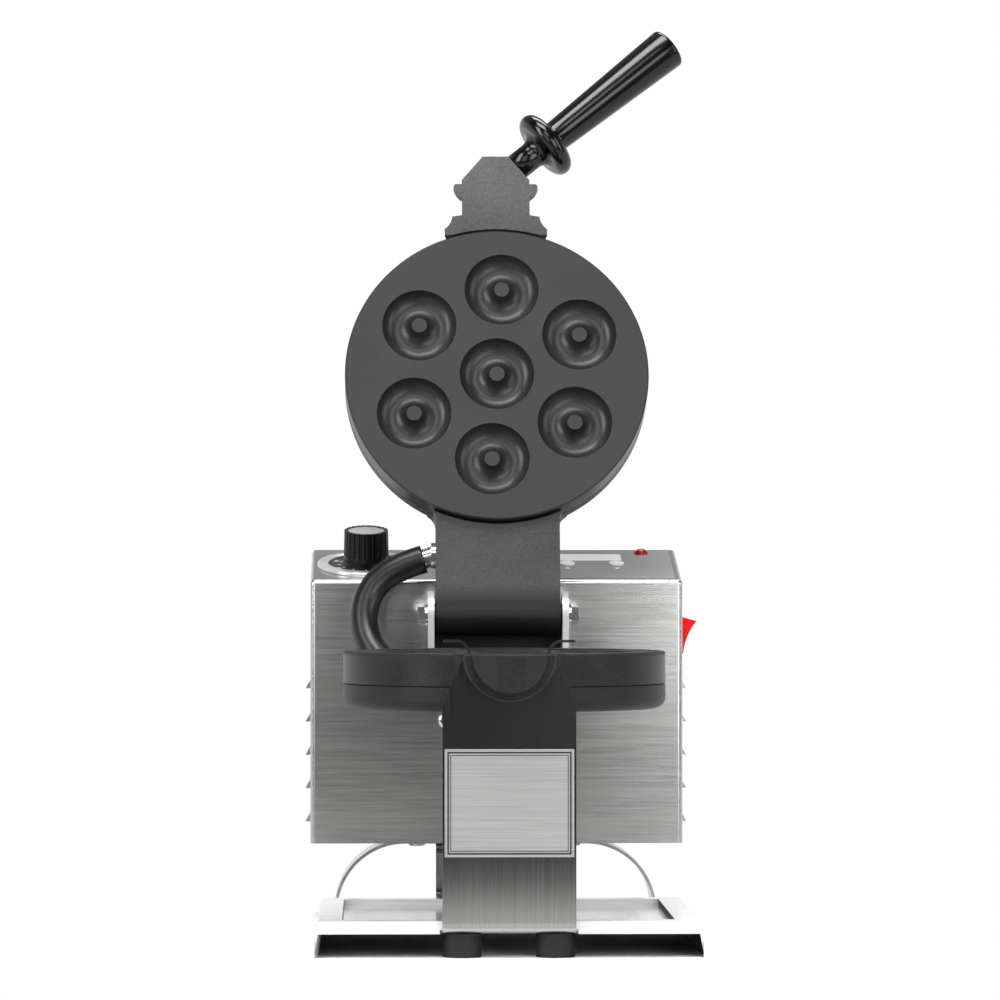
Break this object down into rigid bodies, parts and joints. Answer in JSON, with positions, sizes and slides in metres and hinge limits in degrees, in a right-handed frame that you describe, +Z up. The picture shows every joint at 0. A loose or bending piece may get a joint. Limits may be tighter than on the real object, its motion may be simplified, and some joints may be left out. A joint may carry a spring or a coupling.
{
  "type": "donut maker",
  "caption": "Countertop donut maker with two hinged round baking plates on a turning axle, front cradle stand, drip tray and rear control box",
  "frame": {"origin": "middle of the footprint at table height", "axes": "+Z up, front cradle towards -Y, control box towards +Y"},
  "size_m": [0.2598, 0.4516, 0.5927],
  "materials": {
    "stainless": "brushed",
    "polished": "polished",
    "chrome": "polished",
    "nonstick": "matte non-stick coat",
    "cast": "textured coat",
    "heater": "matt",
    "wool": "matt",
    "rubber": "matt",
    "phenolic": "gloss",
    "black_plastic": "satin",
    "overlay": "matt",
    "pale_plastic": "matt",
    "red": "gloss",
    "brass": "machined",
    "board": "matt",
    "nylon": "matt"
  },
  "bodies": {
    "base": {"stand_strip": "stainless", "cradle_saddle": "stainless", "label_plate": "stainless", "front_feet": "rubber", "arch_stand": "stainless", "rear_feet": "rubber", "stand_bolts": "chrome", "box_shell": "stainless", "box_bottom": "stainless", "box_back": "stainless", "back_screws": "chrome", "cable_gland": "black_plastic", "terminal_block": "nylon", "bearing_housing": "cast", "bearing_bush": "brass", "bearing_screws": "chrome", "panel_overlay": "overlay", "display_window": "pale_plastic", "timer_board": "board", "indicator_lens": "red", "dial_bezel": "stainless", "dial_plate": "black_plastic", "thermostat": "black_plastic", "rocker_housing": "black_plastic"},
    "rotor": {"axle": "stainless", "thrust_washer": "nylon", "axle_ring": "stainless", "lower_plate": "nonstick", "lower_cover": "cast", "lower_heater": "heater", "lower_insulation": "wool", "lower_plate_screws": "chrome", "hinge_ears": "chrome", "ear_screws": "chrome", "hinge_bolts": "chrome", "lower_gland": "chrome", "hose": "rubber"},
    "lid": {"upper_plate": "nonstick", "upper_cover": "cast", "upper_heater": "heater", "upper_insulation": "wool", "upper_plate_screws": "chrome", "hinge_bushes": "brass", "handle_stud": "stainless", "handle_grip": "phenolic", "upper_gland": "chrome"},
    "dial_knob": {"knob": "phenolic", "knob_cap": "stainless", "thermostat_shaft": "stainless"},
    "up_button": {"button_up": "pale_plastic"},
    "down_button": {"button_down": "pale_plastic"},
    "rocker": {"rocker_cap": "red"},
    "tray": {"drip_tray": "polished"}
  },
  "joints": [
    {"name": "rotor_turn", "type": "hinge", "parent": "base", "child": "rotor", "pos_m": [-0.00385, -0.0732, 0.1815], "axis": [0, 1, 0], "range_deg": [-25, 25]},
    {"name": "lid_hinge", "type": "hinge", "parent": "rotor", "child": "lid", "pos_m": [-0.00385, 0.0868, 0.201], "axis": [1, 0, 0], "range_deg": [0, 106.7], "deforming": ["hose"]},
    {"name": "knob_turn", "type": "hinge", "parent": "base", "child": "dial_knob", "pos_m": [-0.08985, 0.16368, 0.23344], "axis": [0, 0.2265, -0.974], "range_deg": [0, 290]},
    {"name": "up_press", "type": "slide", "parent": "base", "child": "up_button", "axis": [0, 0.2265, -0.974], "range_m": [0, 0.0008], "stiffness_N_per_m": 400},
    {"name": "down_press", "type": "slide", "parent": "base", "child": "down_button", "axis": [0, 0.2265, -0.974], "range_m": [0, 0.0008], "stiffness_N_per_m": 400},
    {"name": "rocker_tip", "type": "hinge", "parent": "base", "child": "rocker", "pos_m": [0.11485, 0.1548, 0.1872], "axis": [0, -1, 0], "range_deg": [0, 16]},
    {"name": "tray_lift", "type": "slide", "parent": "base", "child": "tray", "axis": [0, 0, 1], "range_m": [0, 0.06]}
  ]
}
